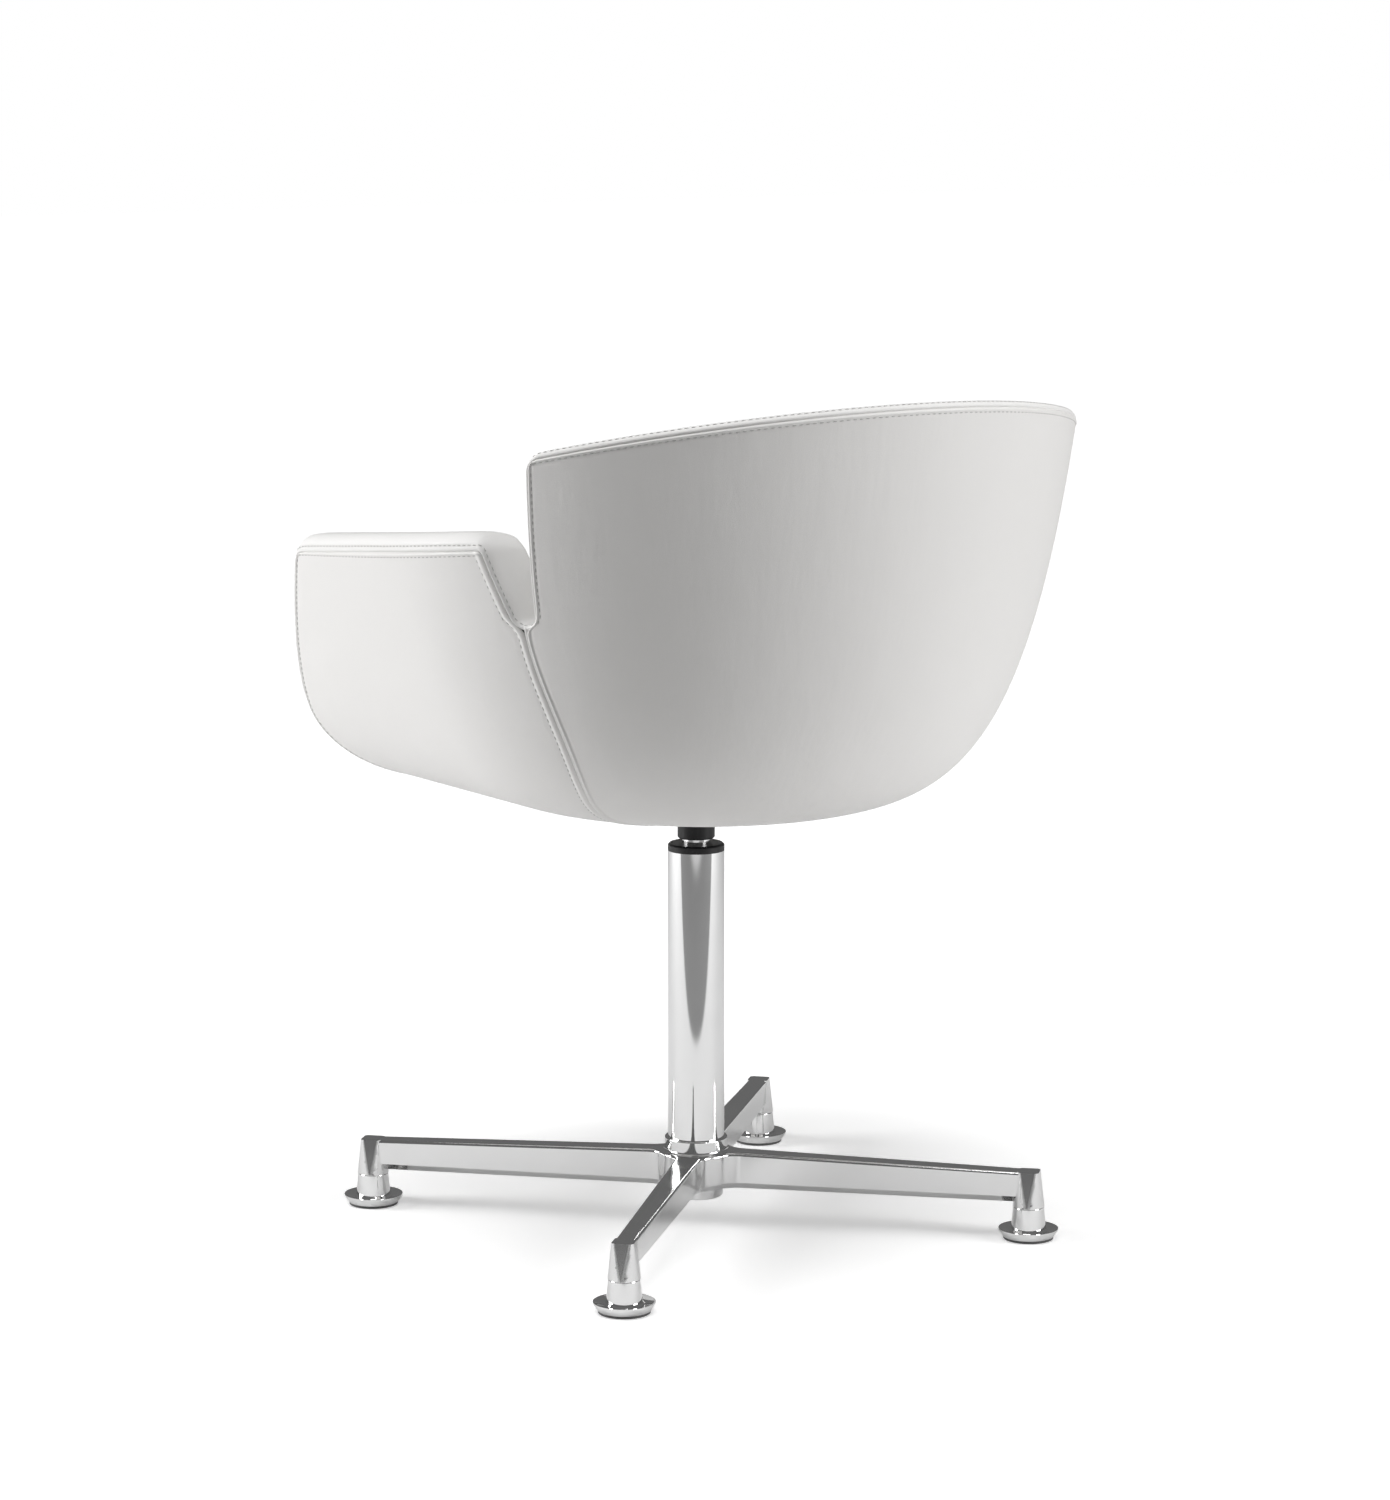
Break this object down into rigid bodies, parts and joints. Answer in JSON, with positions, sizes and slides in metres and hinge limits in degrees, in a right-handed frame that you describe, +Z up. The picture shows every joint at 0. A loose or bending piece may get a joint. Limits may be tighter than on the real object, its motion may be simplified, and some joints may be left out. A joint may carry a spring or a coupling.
{
  "type": "swivel tub armchair",
  "caption": "Low leather tub armchair with a notch between arms and back, turning on a chrome column above a polished star base with levelling glides.",
  "frame": {"origin": "on the column's axis at floor level", "axes": "+Z up, the sitter faces -Y, the sitter's left is +X"},
  "size_m": [0.6132, 0.5989, 0.7527],
  "materials": {
    "polished_aluminium": "polished",
    "chrome": "mirror bright",
    "black_plastic": "satin",
    "sole_plastic": "matte",
    "bush_plastic": "matte",
    "plain_steel": "plain",
    "black_steel": "satin",
    "shell_plastic": "moulded",
    "white_leather": "fine grain, low sheen"
  },
  "bodies": {
    "base": {"base_spider": "polished_aluminium", "column_tube": "chrome", "column_end_plug": "plain_steel", "column_screws": "plain_steel", "bearing_lower_washer": "plain_steel", "bearing_cage": "bush_plastic", "bearing_balls": "plain_steel", "guide_bush": "bush_plastic", "column_collar": "black_plastic"},
    "seat": {"back_band": "white_leather", "bearing_upper_washer": "plain_steel", "front_band": "white_leather", "inner_back_pad": "white_leather", "left_arm_band": "white_leather", "left_arm_pad": "white_leather", "outer_back_cover": "white_leather", "outer_left_cover": "white_leather", "outer_right_cover": "white_leather", "plate_bolts": "plain_steel", "retainer_clip": "plain_steel", "retainer_washer": "plain_steel", "right_arm_band": "white_leather", "right_arm_pad": "white_leather", "seat_cushion": "white_leather", "seat_plate": "black_steel", "seat_sleeve": "black_plastic", "shell_core": "shell_plastic", "spindle": "chrome", "tee_nuts": "plain_steel", "underside_cover": "white_leather"},
    "glide_saucer_1": {"glide_disc_1": "chrome", "glide_pad_1": "sole_plastic"},
    "glide_screw_1": {"glide_neck_1": "chrome"},
    "glide_saucer_2": {"glide_disc_2": "chrome", "glide_pad_2": "sole_plastic"},
    "glide_screw_2": {"glide_neck_2": "chrome"},
    "glide_saucer_3": {"glide_disc_3": "chrome", "glide_pad_3": "sole_plastic"},
    "glide_screw_3": {"glide_neck_3": "chrome"},
    "glide_saucer_4": {"glide_disc_4": "chrome", "glide_pad_4": "sole_plastic"},
    "glide_screw_4": {"glide_neck_4": "chrome"}
  },
  "joints": [
    {"name": "seat_swivel", "type": "hinge", "parent": "base", "child": "seat", "pos_m": [0, 0, 0.3], "axis": [0, 0, 1], "continuous": true},
    {"name": "glide_height_1", "type": "slide", "parent": "base", "child": "glide_saucer_1", "axis": [0, 0, -1], "range_m": [0, 0.006]},
    {"name": "glide_turn_1", "type": "hinge", "parent": "glide_saucer_1", "child": "glide_screw_1", "pos_m": [0.21072, 0.21072, 0.02], "axis": [0, 0, 1], "range_deg": [0, 1440.01]},
    {"name": "glide_height_2", "type": "slide", "parent": "base", "child": "glide_saucer_2", "axis": [0, 0, -1], "range_m": [0, 0.006]},
    {"name": "glide_turn_2", "type": "hinge", "parent": "glide_saucer_2", "child": "glide_screw_2", "pos_m": [-0.21072, 0.21072, 0.02], "axis": [0, 0, 1], "range_deg": [0, 1440.01]},
    {"name": "glide_height_3", "type": "slide", "parent": "base", "child": "glide_saucer_3", "axis": [0, 0, -1], "range_m": [0, 0.006]},
    {"name": "glide_turn_3", "type": "hinge", "parent": "glide_saucer_3", "child": "glide_screw_3", "pos_m": [-0.21072, -0.21072, 0.02], "axis": [0, 0, 1], "range_deg": [0, 1440.01]},
    {"name": "glide_height_4", "type": "slide", "parent": "base", "child": "glide_saucer_4", "axis": [0, 0, -1], "range_m": [0, 0.006]},
    {"name": "glide_turn_4", "type": "hinge", "parent": "glide_saucer_4", "child": "glide_screw_4", "pos_m": [0.21072, -0.21072, 0.02], "axis": [0, 0, 1], "range_deg": [0, 1440.01]}
  ],
  "couplings": [
    {"joint": "glide_turn_1", "follows": "glide_height_1", "rad_per_m": 4188.8},
    {"joint": "glide_turn_2", "follows": "glide_height_2", "rad_per_m": 4188.8},
    {"joint": "glide_turn_3", "follows": "glide_height_3", "rad_per_m": 4188.8},
    {"joint": "glide_turn_4", "follows": "glide_height_4", "rad_per_m": 4188.8}
  ]
}
